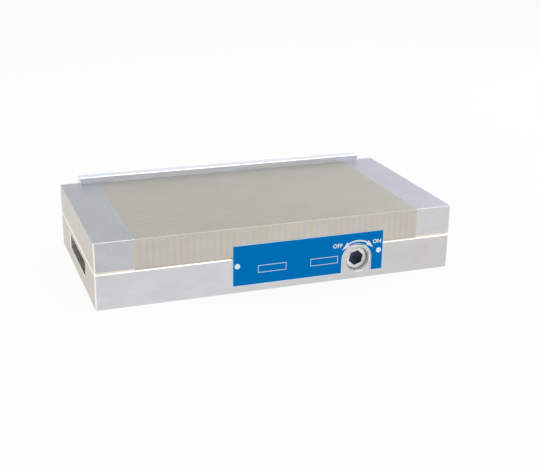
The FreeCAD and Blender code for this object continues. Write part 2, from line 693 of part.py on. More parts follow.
def camshaft(doc):
    body = new_body(doc, "camshaft")
    on_cam_axis(body)
    turned(body, shaft_profile())
    seat = "Fits.wall_face - Sizes.seal_place"
    groove = "Fits.shaft_radius - Sizes.seal_section"
    outside = "Fits.shaft_radius + Sizes.cut_over"
    turned(body, [(groove, seat + " - Sizes.seal_section"), (outside, seat + " - Sizes.seal_section"),
                  (outside, seat), (groove, seat)], remove=True)
    add(body, "Y", "Fits.wall_face + Sizes.fork_end_gap", "Fits.neck_end", outline(lug_section()))
    add(body, "Y", "Fits.collar_end", "Fits.crank_end",
        circles([("-Fits.eccentric", "0")], "Sizes.crank_diameter"))
    cut(body, "Y", "Fits.shaft_end", "Fits.shaft_end + Sizes.key_depth",
        hexagons([("0", "0")], "Sizes.key_flats", "Sizes.key_turn"))


def ring(doc, name, inner, outer, low, high):
    """A plain turned ring on the cam axis."""
    body = new_body(doc, name)
    on_cam_axis(body)
    turned(body, [(inner, low), (outer, low), (outer, high), (inner, high)])
    return body


def cam_rings(doc):
    """The bush in the housing and the seal in the shaft."""
    ring(doc, "cam_bush", "Fits.bush_bore", "Fits.bush_radius", "Fits.bush_front", "Fits.wall_face")
    seat = "Fits.wall_face - Sizes.seal_place"
    ring(doc, "cam_seal", "Fits.shaft_radius - Sizes.seal_section", "Fits.shaft_radius",
         seat + " - Sizes.seal_section", seat)


def crank_rings(doc):
    """The roller on the eccentric pin and the clip that keeps it."""
    roller = ring(doc, "cam_roller", "Sizes.crank_diameter / 2", "Sizes.roller_diameter / 2",
                  "Fits.roller_front", "Fits.roller_rear")
    clip = ring(doc, "roller_clip", "Sizes.crank_diameter / 2", "Sizes.crank_diameter / 2 + Sizes.clip_width",
                "Fits.clip_front", "Fits.clip_front + Sizes.clip_thickness")
    for body in (roller, clip):
        place(body, "Sizes.cam_place - Fits.eccentric")


def cam_fork(doc):
    """The fork under the shaft neck: it keeps the shaft in and its arms stop the lug."""
    body = new_body(doc, "cam_fork")
    on_cam_axis(body)
    wide = "Sizes.fork_half_width"
    slope = "%s * tan(Fits.stop_angle * 1 deg)" % wide
    rear = "Fits.wall_face + Sizes.fork_thickness"
    add(body, "Y", "Fits.wall_face", rear,
        outline([("0", "0"), ("-" + wide, "-" + slope), ("-" + wide, "Fits.fork_bottom"),
                 (wide, "Fits.fork_bottom"), (wide, "-" + slope)]))
    cut(body, "Y", "Fits.wall_face", rear, circles([("0", "0")], "2 * (Fits.neck_radius + Sizes.fork_gap)"))
    cut(body, "Y", "Fits.wall_face", rear,
        circles([("-Sizes.fork_screw_offset", "Fits.fork_screw_z"),
                 ("Sizes.fork_screw_offset", "Fits.fork_screw_z")], "Sizes.fork_screw_diameter"))


def fork_screws(doc):
    body = new_body(doc, "fork_screws")
    rear = "Fits.wall_face + Sizes.fork_thickness"
    head = rear + " + Sizes.fork_screw_head_height"
    add(body, "Y", "Fits.wall_face - Sizes.fork_screw_reach", rear,
        circles(fork_screw_places(), "Sizes.fork_screw_diameter"))
    add(body, "Y", rear, head, circles(fork_screw_places(), "Sizes.fork_screw_head"))


# Magnet pack

def keeper_plate(doc):
    body = new_body(doc, "keeper_plate")
    add(body, "Z", "Fits.pack_bottom", "Fits.magnet_bottom",
        rectangle("Fits.pack_left", "Fits.pack_right", "Fits.magnet_front", "Fits.magnet_rear"))


def pack_screw_xs():
    return ["Fits.pack_left + Fits.end_bar / 2", "Fits.pack_right - Fits.end_bar / 2"]


def pack_bar(doc, name, front, rear, seat_front, seat_rear):
    """A side bar of the pack, with stepped seats for its two screws."""
    body = new_body(doc, name)
    add(body, "Y", front, rear,
        rectangle("Fits.pack_left", "Fits.pack_right", "Fits.pack_bottom", "Fits.pack_top"))
    centres = [(along, "Fits.pack_screw_z") for along in pack_screw_xs()]
    cut(body, "Y", front, rear, circles(centres, "Sizes.pack_screw_diameter"))
    cut(body, "Y", seat_front, seat_rear, circles(centres, "Sizes.pack_screw_head"))
    return body


def yoke_bar(doc):
    """The front bar, with the upright slot that the roller pushes."""
    body = pack_bar(doc, "yoke_bar", "Fits.pack_front", "Fits.magnet_front",
                    "Fits.pack_front", "Fits.pack_front + Sizes.pack_screw_head_height")
    cut(body, "Y", "Fits.pack_front", "Fits.magnet_front",
        rectangle("Fits.crank_rest - Fits.slot_half", "Fits.crank_rest + Fits.slot_half",
                  "Fits.slot_bottom", "Fits.pack_top"))


def carrier_end_bars(doc):
    body = new_body(doc, "carrier_end_bars")

    def draw(sketch):
        rectangle("Fits.pack_left", "Fits.pole_left", "Fits.magnet_front", "Fits.magnet_rear")(sketch)
        rectangle("Fits.pole_right", "Fits.pack_right", "Fits.magnet_front", "Fits.magnet_rear")(sketch)
    add(body, "Z", "Fits.magnet_bottom", "Fits.pack_top", draw)
    centres = [(along, "Fits.pack_screw_z") for along in pack_screw_xs()]
    reach = "(Sizes.pack_screw_length - Fits.magnet_front + Fits.pack_front)"
    for low, high in (("Fits.magnet_front", "Fits.magnet_front + " + reach),
                      ("Fits.magnet_rear - " + reach, "Fits.magnet_rear")):
        cut(body, "Y", low, high, circles(centres, "Sizes.pack_screw_diameter"))


def carrier_screws(doc):
    body = new_body(doc, "carrier_screws")
    centres = [(along, "Fits.pack_screw_z") for along in pack_screw_xs()]
    head = "Sizes.pack_screw_head_height"
    long = "Sizes.pack_screw_length"
    add(body, "Y", "Fits.pack_front", "Fits.pack_front + " + head, circles(centres, "Sizes.pack_screw_head"))
    add(body, "Y", "Fits.pack_front + " + head, "Fits.pack_front + " + long,
        circles(centres, "Sizes.pack_screw_diameter"))
    add(body, "Y", "Fits.pack_rear - " + head, "Fits.pack_rear", circles(centres, "Sizes.pack_screw_head"))
    add(body, "Y", "Fits.pack_rear - " + long, "Fits.pack_rear - " + head,
        circles(centres, "Sizes.pack_screw_diameter"))


def magnet_row(doc, name, start, count, pitch):
    """A row of equal bars in the pack."""
    body = new_body(doc, name)
    single = add(body, "X", start, start + " + Fits.pole",
                 rectangle("Fits.magnet_front", "Fits.magnet_rear", "Fits.magnet_bottom", "Fits.pack_top"))
    repeat(body, single, count, pitch)


def wear_strips(doc):
    body = new_body(doc, "wear_strips")
    half = "Sizes.wear_width / 2"

    def draw(sketch):
        for side in "+-":
            middle = side + "Fits.wear_y"
            rectangle("-Fits.wear_x", "Fits.wear_x",
                      "%s - %s" % (middle, half), "%s + %s" % (middle, half))(sketch)
    add(body, "Z", "Sizes.floor_thickness", "Fits.pack_bottom", draw)


def side_guides(doc):
    """Blocks on the long walls that steer the pack; the front pair keeps clear of the cam."""
    body = new_body(doc, "side_guides")
    half = "Sizes.guide_length / 2"

    def draw(sketch):
        for middle in ("-Fits.guide_x", "Fits.guide_x"):
            rectangle("%s - %s" % (middle, half), "%s + %s" % (middle, half),
                      "Fits.pack_rear + Sizes.guide_gap", "Fits.cavity_y")(sketch)
        for middle in ("-Fits.guide_x", "Sizes.guide_front_place"):
            rectangle("%s - %s" % (middle, half), "%s + %s" % (middle, half),
                      "-Fits.cavity_y", "Fits.pack_front - Sizes.guide_gap")(sketch)
    add(body, "Z", "Sizes.floor_thickness", "Fits.pack_top", draw)


# Label

def label_plate(doc, fits):
    """The thin label across the joint line, with its window for the key socket."""
    body = new_body(doc, "label_plate")
    face = "Fits.label_face"
    sheet = add(body, "Y", face, "-Fits.half_width",
                rectangle("Fits.label_left", "Fits.label_right", "Sizes.label_bottom", "Fits.label_top"))

    def corner(box):
        return box.XLength < 1e-4 and box.ZLength < 1e-4
    soften(doc, body, sheet, corner, "Sizes.label_radius", "Fillet")
    cut(body, "Y", face, "-Fits.half_width", circles([("Fits.window_x", "Fits.window_z")], "Fits.window"))
    cut(body, "Y", face, "-Fits.half_width",
        rectangle("Fits.window_x - Fits.window / 2", "Fits.window_x + Fits.window / 2",
                  "Sizes.label_bottom - Sizes.cut_over", "Fits.window_z"))
    cut(body, "Y", face, "-Fits.half_width", circles(label_pin_places(), "Sizes.label_hole_diameter"))


def label_pins(doc):
    """Grooved pins, sunk a little in the holes of the label, with a flanged head."""
    body = new_body(doc, "label_pins")
    base = "-Fits.half_width"
    add(body, "Y", base, base + " + Sizes.label_pin_reach",
        circles(label_pin_places(), "Sizes.label_pin_diameter"))
    add(body, "Y", base + " - Sizes.label_thickness / 2", base,
        circles(label_pin_places(), "Sizes.label_hole_diameter"))


# Whole chuck

def build(doc):
    make_sheet(doc)
    fits = make_fits(doc)
    half_pocket = doc.Sizes.get("pocket_width") / 2
    base_housing(doc, fits, half_pocket)
    plate_gasket(doc)
    end_block(doc, fits, "end_block_left", "-")
    end_block(doc, fits, "end_block_right", "+")
    strips(doc, "brass_strips", "-Fits.zone_x", "Sizes.brass_strip", "Fits.brass_count")
    strips(doc, "steel_strips", "-Fits.zone_x + Sizes.brass_strip", "Fits.steel_strip",
           "Fits.brass_count - 1")
    plate_screws(doc)
    plate_dowels(doc)
    stop_rail(doc, fits)
    rail_screws(doc)
    camshaft(doc)
    cam_rings(doc)
    crank_rings(doc)
    cam_fork(doc)
    fork_screws(doc)
    keeper_plate(doc)
    yoke_bar(doc)
    pack_bar(doc, "rear_bar", "Fits.magnet_rear", "Fits.pack_rear",
             "Fits.pack_rear - Sizes.pack_screw_head_height", "Fits.pack_rear")
    carrier_end_bars(doc)
    carrier_screws(doc)
    pole = "Fits.pole"
    magnet_row(doc, "pole_bars", "Fits.pole_left", "Fits.pole_count", "2 * " + pole)
    magnet_row(doc, "magnets_north", "Fits.pole_left + " + pole,
               "floor(Fits.pole_count / 2)", "4 * " + pole)
    magnet_row(doc, "magnets_south", "Fits.pole_left + 3 * " + pole,
               "floor((Fits.pole_count - 1) / 2)", "4 * " + pole)
    wear_strips(doc)
    side_guides(doc)
    label_plate(doc, fits)
    label_pins(doc)
    doc.recompute()


def check(doc):
    """Stop if any object failed, any shape is bad or any cut took nothing away."""
    for thing in doc.Objects:
        if "Invalid" in thing.State or "Error" in thing.State:
            raise ValueError("failed: %s %s" % (thing.Name, thing.State))
    for thing in doc.Objects:
        if thing.TypeId in ("PartDesign::Pocket", "PartDesign::Groove"):
            if thing.Shape.Volume >= thing.BaseFeature.Shape.Volume - 1e-6:
                raise ValueError("cuts nothing: " + thing.Name)
    for body in bodies(doc):
        if body.Shape.isNull() or not body.Shape.isValid():
            raise ValueError("bad shape: " + body.Label)


def bodies(doc):
    return [thing for thing in doc.Objects if thing.TypeId == "PartDesign::Body"]


def export(doc):
    os.makedirs("parts", exist_ok=True)
    for body in bodies(doc):
        body.Shape.exportStep("parts/%s.step" % body.Label)
        print(body.Label, len(body.Shape.Solids), round(body.Shape.Volume, 1))


def main():
    doc = FreeCAD.newDocument("magnetic_chuck")
    build(doc)
    check(doc)
    export(doc)


main()
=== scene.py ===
"""Looks of a permanent-magnet chuck: its metal finishes, its printed label and a plain studio.

Everything is in metres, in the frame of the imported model: +X along the chuck, -Y the front, +Z up.
"""
import math

import bmesh
import bpy
from bpy.props import FloatProperty, FloatVectorProperty, PointerProperty
from bpy.types import Operator, Panel, PropertyGroup
from mathutils import Matrix, Vector


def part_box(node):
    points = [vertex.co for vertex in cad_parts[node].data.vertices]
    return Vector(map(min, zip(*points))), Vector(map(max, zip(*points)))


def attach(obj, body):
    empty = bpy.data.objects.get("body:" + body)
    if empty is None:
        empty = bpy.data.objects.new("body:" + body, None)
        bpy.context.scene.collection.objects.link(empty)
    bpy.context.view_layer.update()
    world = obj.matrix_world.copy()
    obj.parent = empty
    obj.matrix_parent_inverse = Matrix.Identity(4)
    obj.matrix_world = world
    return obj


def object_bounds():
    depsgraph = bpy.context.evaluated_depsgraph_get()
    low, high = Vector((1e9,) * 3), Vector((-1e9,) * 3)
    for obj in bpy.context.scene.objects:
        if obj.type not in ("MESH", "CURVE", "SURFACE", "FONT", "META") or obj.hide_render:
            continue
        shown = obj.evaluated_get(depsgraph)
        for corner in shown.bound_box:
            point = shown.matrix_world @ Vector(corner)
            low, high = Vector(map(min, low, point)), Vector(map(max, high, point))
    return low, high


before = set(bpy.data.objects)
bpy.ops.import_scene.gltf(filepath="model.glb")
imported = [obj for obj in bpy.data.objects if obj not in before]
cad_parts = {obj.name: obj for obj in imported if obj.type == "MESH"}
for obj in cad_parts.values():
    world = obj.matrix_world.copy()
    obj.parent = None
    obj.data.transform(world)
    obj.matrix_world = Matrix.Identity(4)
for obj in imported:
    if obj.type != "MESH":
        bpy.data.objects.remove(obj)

bl_info = {
    "name": "Magnetic Chuck",
    "version": (1, 0, 0),
    "blender": (4, 5, 0),
    "location": "View3D > Sidebar > Chuck",
    "description": "Finishes, printed label and studio for a magnetic chuck",
    "category": "Object",
}

MM = 0.001
WHITE = (1.0, 1.0, 1.0, 1.0)
CAD_BOX = [list(corner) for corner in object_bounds()]
JOINT_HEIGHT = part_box("base_housing")[1].z
LABEL_LOW, LABEL_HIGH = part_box("label_plate")
STRIPS_LOW, STRIPS_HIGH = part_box("brass_strips")
PINS_LOW, PINS_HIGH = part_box("label_pins")
BUSH_LOW, BUSH_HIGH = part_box("cam_bush")
SHAFT_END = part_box("camshaft")[0].y
CAM_AXIS = (BUSH_LOW + BUSH_HIGH) / 2

# Places of the sockets of a math node and of a colour mix, which share their names.
FIRST, SECOND, THIRD = 0, 1, 2
MIX_SHARE, MIX_FROM, MIX_TO, MIX_RESULT = 0, 6, 7, 2
COLOUR = {"data_type": "RGBA"}
SMOOTH = {"interpolation_type": "SMOOTHSTEP"}

# Where noise, which runs from 0 to 1, is spread out before use.
NOISE_LOW, NOISE_HIGH = 0.3, 0.7


def linear(colour):
    """An sRGB hex colour as linear RGBA."""
    channels = [int(colour[i:i + 2], 16) / 255 for i in (1, 3, 5)]
    return tuple(c / 12.92 if c <= 0.04045 else ((c + 0.055) / 1.055) ** 2.4 for c in channels) + (1.0,)


def length_property(name, description, millimetres):
    """A length that a user may change."""
    return FloatProperty(name=name, description=description, default=millimetres * MM,
                         min=0.0, precision=5, unit="LENGTH")


def colour_property(name, description, colour):
    """A colour that a user may change."""
    return FloatVectorProperty(name=name, description=description, default=linear(colour),
                               size=4, min=0.0, max=1.0, subtype="COLOR")


class ChuckLabelSizes(PropertyGroup):
    """Sizes and places of the print. Along and up are from the label's lower left corner."""
    edge: length_property("Bare Edge", "Aluminium left bare round the blue field", 0.25)
    corner: length_property("Corner", "Corner radius of the blue field", 0.7)
    ink: length_property("Ink", "Thickness of one layer of ink", 0.03)
    window: length_property("Window", "Radius of the opening round the key socket", 10.9)
    window_shift: length_property("Window Shift", "Window centre to the left of the cam shaft", 1.6)
    window_rise: length_property("Window Rise", "Window centre above the cam shaft", 1.0)
    pin_hole: length_property("Pin Hole", "Radius left clear round each pin", 1.9)
    arrow_shift: length_property("Arrow Shift", "Arrow centre to the left of the cam shaft", 1.0)
    arrow_drop: length_property("Arrow Drop", "Arrow centre below the cam shaft", 0.5)
    arrow_radius: length_property("Arrow Radius", "Radius of the turning arrow", 14.5)
    arrow_line: length_property("Arrow Line", "Width of the arrow's line", 1.1)
    arrow_head: length_property("Arrow Head", "Width of the arrow's heads", 3.4)
    cap_height: length_property("Letter Height", "Height of the capitals", 2.8)
    stroke_growth: length_property("Stroke Growth", "How far the ink spreads past each stroke", 0.12)
    off_along: length_property("OFF Along", "Middle of the word OFF, along the label", 74.4)
    off_up: length_property("OFF Up", "Middle of the word OFF, up the label", 20.15)
    on_along: length_property("ON Along", "Middle of the word ON, along the label", 103.6)
    on_up: length_property("ON Up", "Middle of the word ON, up the label", 20.65)
    frame_line: length_property("Frame Line", "Line width of the empty frames", 0.35)
    frame_width: length_property("Frame Width", "Width of the empty frames", 20.0)
    frame_height: length_property("Frame Height", "Height of the empty frames", 5.2)
    frame_up: length_property("Frame Up", "Lower edge of the empty frames, up the label", 8.0)
    left_frame_along: length_property("Left Frame", "Left edge of the left frame, along the label", 17.5)
    right_frame_along: length_property("Right Frame", "Left edge of the right frame, along the label", 54.8)


class ChuckColours(PropertyGroup):
    """Colours of the finishes. The side, top and end tones of the housing and the end blocks, the edge colour
    and the socket colour are painted light and shade.
    """
    # Painted light and shade: the housing and both end blocks are one ground steel; their tones that differ
    # left against right and top against sides stand in for how light falls.
    housing_left: colour_property("Housing, Left", "Ground housing steel at the left end", "#D7D7DB")
    housing_right: colour_property("Housing, Right", "Ground housing steel at the right end", "#CECDCC")
    block_left: colour_property("Left Block", "Sides of the left end block", "#C4C6CA")
    block_right: colour_property("Right Block", "Sides of the right end block", "#D1D1D2")
    top_left: colour_property("Left Block, Top", "Work face of the left end block", "#A9ADB2")
    top_right: colour_property("Right Block, Top", "Work face of the right end block", "#B6B7C3")
    # Painted highlight: a near-white tone laid on the joint and corner chamfers where they catch the light.
    edge: colour_property("Painted Edge Highlights", "Chamfers at the joint and the upright corners", "#F8F5EC")
    # Painted reflection: a warmer tone on the end faces stands in for a warm reflection off that side.
    painted_end_reflection: colour_property("End Faces", "Painted warm reflection on the end faces", "#C6C2B6")
    brass: colour_property("Brass Strips", "Ground tops of the brass strips", "#C9B998")
    steel: colour_property("Steel Strips", "Ground tops of the steel strips", "#A6A9A8")
    rail: colour_property("Stop Rail", "Ground stop rail", "#E0E4EC")
    # Painted shade: the key socket colour is a darker tone laid on the socket walls.
    socket: colour_property("Key Socket", "Painted shade on the walls of the key socket", "#9094A4")
    label: colour_property("Label", "Blue dye of the label", "#0074BB")


class ChuckStudio(PropertyGroup):
    """The camera and the light."""
    azimuth: FloatProperty(name="Azimuth", description="Turn of the view to the left of the front",
                           default=math.radians(20.0915), subtype="ANGLE", unit="ROTATION")
    elevation: FloatProperty(name="Elevation", description="Angle at which the camera looks down",
                             default=math.radians(19.932), subtype="ANGLE", unit="ROTATION")
    roll: FloatProperty(name="Roll", description="Tilt of the camera about its view",
                        default=math.radians(0.823), subtype="ANGLE", unit="ROTATION")
    aim: FloatVectorProperty(name="Aim", description="Point that the camera looks at", size=3,
                             default=(12.38 * MM, -7.09 * MM, 16.11 * MM), subtype="XYZ", unit="LENGTH")
    distance: length_property("Distance", "Camera to the point it looks at", 718.3)
    lens: FloatProperty(name="Lens", description="Focal length in millimetres", default=66.39, min=1.0)
    ambient: FloatProperty(name="Ambient", description="Strength of the white room", default=0.62, min=0.0)
    lamps: FloatProperty(name="Lamps", description="Share of the lamps' power", default=1.0, min=0.0)
    glow: FloatProperty(name="Floor Glow", description="Share of plain white in the floor, to the eye",
                        default=0.9, min=0.0, max=1.0)


# ---------------------------------------------------------------- materials

def add_node(tree, kind, settings=None, inputs=None):
    """Add a node, set its attributes, and set or link its inputs."""
    made = tree.nodes.new(kind)
    for name, value in (settings or {}).items():
        setattr(made, name, value)
    for name, value in (inputs or {}).items():
        if isinstance(value, bpy.types.NodeSocket):
            tree.links.new(value, made.inputs[name])
        else:
            made.inputs[name].default_value = value
    return made


def new_finish(name, **values):
    """A material with a Principled shader, whose uniform values are set on its own sockets."""
    material = bpy.data.materials.new(name)
    material.use_nodes = True
    tree = material.node_tree
    tree.nodes.clear()
    shader = add_node(tree, "ShaderNodeBsdfPrincipled", inputs=values)
    add_node(tree, "ShaderNodeOutputMaterial", inputs={"Surface": shader.outputs["BSDF"]})
    return material, tree, shader


def marks(tree, spacing, seed=0.0):
    """Noise with its spots the given millimetres apart along x, y and z."""
    place = add_node(tree, "ShaderNodeTexCoord")
    scale = [1 / (size * MM) for size in spacing]
    laid = add_node(tree, "ShaderNodeMapping", inputs={
        "Vector": place.outputs["Object"], "Scale": scale, "Location": (seed, seed, seed)})
    return add_node(tree, "ShaderNodeTexNoise", inputs={
        "Vector": laid.outputs["Vector"], "Scale": 1.0, "Detail": 2.0}).outputs["Fac"]


def shaded(tree, colour, amount, share):
    """The colour, darkened by amount where share is low and lightened by it where share is high."""
    light = add_node(tree, "ShaderNodeMapRange", SMOOTH, {
        "Value": share, "From Min": NOISE_LOW, "From Max": NOISE_HIGH,
        "To Min": 1 - amount, "To Max": 1 + amount})
    base = colour if isinstance(colour, bpy.types.NodeSocket) else tuple(colour)[:3]
    return add_node(tree, "ShaderNodeVectorMath", {"operation": "SCALE"}, {
        "Vector": base, "Scale": light.outputs["Result"]}).outputs["Vector"]


def rough_and_raised(tree, shader, height, depth, low, high):
    """Roughness from low to high and a bump of depth millimetres, both from one height."""
    roughness = add_node(tree, "ShaderNodeMapRange", SMOOTH, {
        "Value": height, "From Min": NOISE_LOW, "From Max": NOISE_HIGH, "To Min": low, "To Max": high})
    bump = add_node(tree, "ShaderNodeBump", inputs={
        "Height": height, "Strength": 1.0, "Distance": depth * MM})
    tree.links.new(roughness.outputs["Result"], shader.inputs["Roughness"])
    tree.links.new(bump.outputs["Normal"], shader.inputs["Normal"])


def painted_edge_highlights(tree, slopes, height):
    """Where the painted highlights go: 1 on the chamfers along the joint and up the corners, and 0 on level,
    upright and end faces.

    The walls of the upright screw holes slope the same way in places, and get the painted highlight there
    too.
    """
    flat_share = 0.85
    upright_share = 0.2
    joint_half = 1.05 * MM
    level = add_node(tree, "ShaderNodeMath", {"operation": "MAXIMUM"}, {
        FIRST: slopes["X"], SECOND: slopes["Y"]})
    largest = add_node(tree, "ShaderNodeMath", {"operation": "MAXIMUM"}, {
        FIRST: level.outputs["Value"], SECOND: slopes["Z"]})
    slanted = add_node(tree, "ShaderNodeMath", {"operation": "LESS_THAN"}, {
        FIRST: largest.outputs["Value"], SECOND: flat_share})
    by_joint = add_node(tree, "ShaderNodeMath", {"operation": "COMPARE"}, {
        FIRST: height, SECOND: JOINT_HEIGHT, THIRD: joint_half})
    upright = add_node(tree, "ShaderNodeMath", {"operation": "LESS_THAN"}, {
        FIRST: slopes["Z"], SECOND: upright_share})
    either = add_node(tree, "ShaderNodeMath", {"operation": "MAXIMUM"}, {
        FIRST: by_joint.outputs["Value"], SECOND: upright.outputs["Value"]})
    return add_node(tree, "ShaderNodeMath", {"operation": "MULTIPLY"}, {
        FIRST: slanted.outputs["Value"], SECOND: either.outputs["Value"]}).outputs["Value"]


def painted_light_by_face(tree, left, right, top, colours):
    """Painted light and shade by face: a tone that shifts from left to right along the chuck, a painted warm
    reflection on the ends, a separate tone on the top and painted highlights on the chamfered edges.
    """
    facing = {"From Min": 0.8, "From Max": 0.95}
    place = add_node(tree, "ShaderNodeTexCoord")
    where = add_node(tree, "ShaderNodeSeparateXYZ", inputs={"Vector": place.outputs["Object"]})
    normal = add_node(tree, "ShaderNodeSeparateXYZ", inputs={"Vector": place.outputs["Normal"]})
    absolute = add_node(tree, "ShaderNodeVectorMath", {"operation": "ABSOLUTE"}, {
        FIRST: place.outputs["Normal"]})
    slopes = add_node(tree, "ShaderNodeSeparateXYZ", inputs={"Vector": absolute.outputs["Vector"]}).outputs
    along = add_node(tree, "ShaderNodeMapRange", SMOOTH, {
        "Value": where.outputs["X"], "From Min": CAD_BOX[0][0], "From Max": CAD_BOX[1][0]})
    is_end = add_node(tree, "ShaderNodeMapRange", SMOOTH, {"Value": slopes["X"], **facing})
    is_top = add_node(tree, "ShaderNodeMapRange", SMOOTH, {"Value": normal.outputs["Z"], **facing})
    sides = add_node(tree, "ShaderNodeMix", COLOUR, {
        MIX_SHARE: along.outputs["Result"], MIX_FROM: left, MIX_TO: right})
    # Painted reflection: the end faces take the warmer tone.
    ended = add_node(tree, "ShaderNodeMix", COLOUR, {
        MIX_SHARE: is_end.outputs["Result"], MIX_FROM: sides.outputs[MIX_RESULT], MIX_TO: colours.painted_end_reflection})
    topped = add_node(tree, "ShaderNodeMix", COLOUR, {
        MIX_SHARE: is_top.outputs["Result"], MIX_FROM: ended.outputs[MIX_RESULT], MIX_TO: top})
    # Painted highlight on the joint and corner chamfers.
    highlight_share = painted_edge_highlights(tree, slopes, where.outputs["Z"])
    return add_node(tree, "ShaderNodeMix", COLOUR, {
        MIX_SHARE: highlight_share, MIX_FROM: topped.outputs[MIX_RESULT],
        MIX_TO: colours.edge}).outputs[MIX_RESULT]


def ground_steel(name, left, right, top, colours):
    """Surface-ground mild steel: a level grey sheen with fine grinding lines and pale flecks, over per-face
    tones that are painted light and shade, with painted highlights on the chamfered edges.

    Grinding lines lie about 0.1 mm apart. They are drawn 0.9 mm apart, so that they show.
    """
    material, tree, shader = new_finish(name, Metallic=1.0)
    lines = marks(tree, (9, 9, 0.9))
    clouds = marks(tree, (22, 22, 9), seed=3.0)
    flecks = marks(tree, (2.6, 2.6, 1.2), seed=7.0)
    colour = shaded(tree, painted_light_by_face(tree, left, right, top, colours), 0.022, lines)
    colour = shaded(tree, colour, 0.028, clouds)
    pale = add_node(tree, "ShaderNodeMapRange", SMOOTH, {
        "Value": flecks, "From Min": 0.66, "From Max": 0.74, "To Max": 0.35})
    flecked = add_node(tree, "ShaderNodeMix", COLOUR, {
        MIX_SHARE: pale.outputs["Result"], MIX_FROM: colour, MIX_TO: WHITE})
    tree.links.new(flecked.outputs[MIX_RESULT], shader.inputs["Base Color"])
    rough_and_raised(tree, shader, lines, 0.006, 0.32, 0.41)
    return material


def strip_finish(name, top, front_grey, front_tan):
    """A strip ground flush with its neighbours: a matt sheen on top, and broad tan and grey bands in front.

    A tan and a grey band together are a little over two strip pitches wide. The first and last are tan.
    """
    band_pairs = 44.5
    material, tree, shader = new_finish(name, Metallic=1.0)
    place = add_node(tree, "ShaderNodeTexCoord")
    normal = add_node(tree, "ShaderNodeSeparateXYZ", inputs={"Vector": place.outputs["Normal"]})
    where = add_node(tree, "ShaderNodeSeparateXYZ", inputs={"Vector": place.outputs["Object"]})
    turns = add_node(tree, "ShaderNodeMapRange", {"clamp": False}, {
        "Value": where.outputs["X"], "From Min": STRIPS_LOW.x, "From Max": STRIPS_HIGH.x,
        "To Max": 2 * math.pi * band_pairs})
    wave = add_node(tree, "ShaderNodeMath", {"operation": "SINE"}, {FIRST: turns.outputs["Result"]})
    tan = add_node(tree, "ShaderNodeMapRange", SMOOTH, {
        "Value": wave.outputs["Value"], "From Min": -0.5, "From Max": 0.5})
    front = add_node(tree, "ShaderNodeMix", COLOUR, {
        MIX_SHARE: tan.outputs["Result"], MIX_FROM: front_grey, MIX_TO: front_tan})
    upward = add_node(tree, "ShaderNodeMath", {"operation": "GREATER_THAN"}, {
        FIRST: normal.outputs["Z"], SECOND: 0.5})
    both = add_node(tree, "ShaderNodeMix", COLOUR, {
        MIX_SHARE: upward.outputs["Value"], MIX_FROM: front.outputs[MIX_RESULT], MIX_TO: top})
    lines = marks(tree, (14, 1.1, 1.1), seed=2.0)
    clouds = marks(tree, (18, 18, 7), seed=5.0)
    colour = shaded(tree, both.outputs[MIX_RESULT], 0.02, lines)
    colour = shaded(tree, colour, 0.02, clouds)
    tree.links.new(colour, shader.inputs["Base Color"])
    rough_and_raised(tree, shader, lines, 0.004, 0.38, 0.48)
    return material


def tooled_metal(name, colour, spacing, contrast, depth, low, high):
    """A metal with tool marks, whose spacing in millimetres is given along x, y and z."""
    material, tree, shader = new_finish(name, Metallic=1.0)
    cut = marks(tree, spacing)
    stain = marks(tree, (12, 12, 12), seed=4.0)
    toned = shaded(tree, shaded(tree, colour, contrast, cut), contrast, stain)
    tree.links.new(toned, shader.inputs["Base Color"])
    rough_and_raised(tree, shader, cut, depth, low, high)
    return material


def turned_steel(name, colour, socket):
    """Turned and broached steel: bright rings round the end face, and painted shade on the walls of the
    hexagon socket.

    A finishing cut leaves rings 0.1 mm apart. They are drawn 0.7 mm apart, so that they show.
    """
    ring_spacing = 0.7 * MM
    socket_reach = 6.0 * MM
    material, tree, shader = new_finish(name, Metallic=1.0)
    place = add_node(tree, "ShaderNodeTexCoord")
    centred = add_node(tree, "ShaderNodeVectorMath", {"operation": "SUBTRACT"}, {
        FIRST: place.outputs["Object"], SECOND: (CAM_AXIS.x, SHAFT_END, CAM_AXIS.z)})
    flat = add_node(tree, "ShaderNodeVectorMath", {"operation": "MULTIPLY"}, {
        FIRST: centred.outputs["Vector"], SECOND: (1, 0, 1)})
    radius = add_node(tree, "ShaderNodeVectorMath", {"operation": "LENGTH"}, {FIRST: flat.outputs["Vector"]})
    depth = add_node(tree, "ShaderNodeSeparateXYZ", inputs={"Vector": centred.outputs["Vector"]})
    ring_turns = add_node(tree, "ShaderNodeMath", {"operation": "MULTIPLY"}, {
        FIRST: radius.outputs["Value"], SECOND: 2 * math.pi / ring_spacing})
    rings = add_node(tree, "ShaderNodeMath", {"operation": "SINE"}, {FIRST: ring_turns.outputs["Value"]})
    height = add_node(tree, "ShaderNodeMapRange", SMOOTH, {
        "Value": rings.outputs["Value"], "From Min": -1.0, "From Max": 1.0}).outputs["Result"]
    patches = marks(tree, (2.5, 2.5, 2.5), seed=1.0)
    bright = shaded(tree, shaded(tree, colour, 0.05, height), 0.09, patches)
    # Painted shade: inside the socket's reach and below the end face, the colour turns to the darker socket
    # colour.
    inside = add_node(tree, "ShaderNodeMapRange", SMOOTH, {
        "Value": radius.outputs["Value"], "From Min": socket_reach + 0.2 * MM, "From Max": socket_reach})
    below = add_node(tree, "ShaderNodeMapRange", SMOOTH, {
        "Value": depth.outputs["Y"], "From Min": 0.1 * MM, "From Max": 0.4 * MM})
    socket_shade_share = add_node(tree, "ShaderNodeMath", {"operation": "MULTIPLY"}, {
        FIRST: inside.outputs["Result"], SECOND: below.outputs["Result"]})
    toned = add_node(tree, "ShaderNodeMix", COLOUR, {
        MIX_SHARE: socket_shade_share.outputs["Value"], MIX_FROM: bright, MIX_TO: socket})
    tree.links.new(toned.outputs[MIX_RESULT], shader.inputs["Base Color"])
    rough_and_raised(tree, shader, height, 0.004, 0.34, 0.44)
    return material


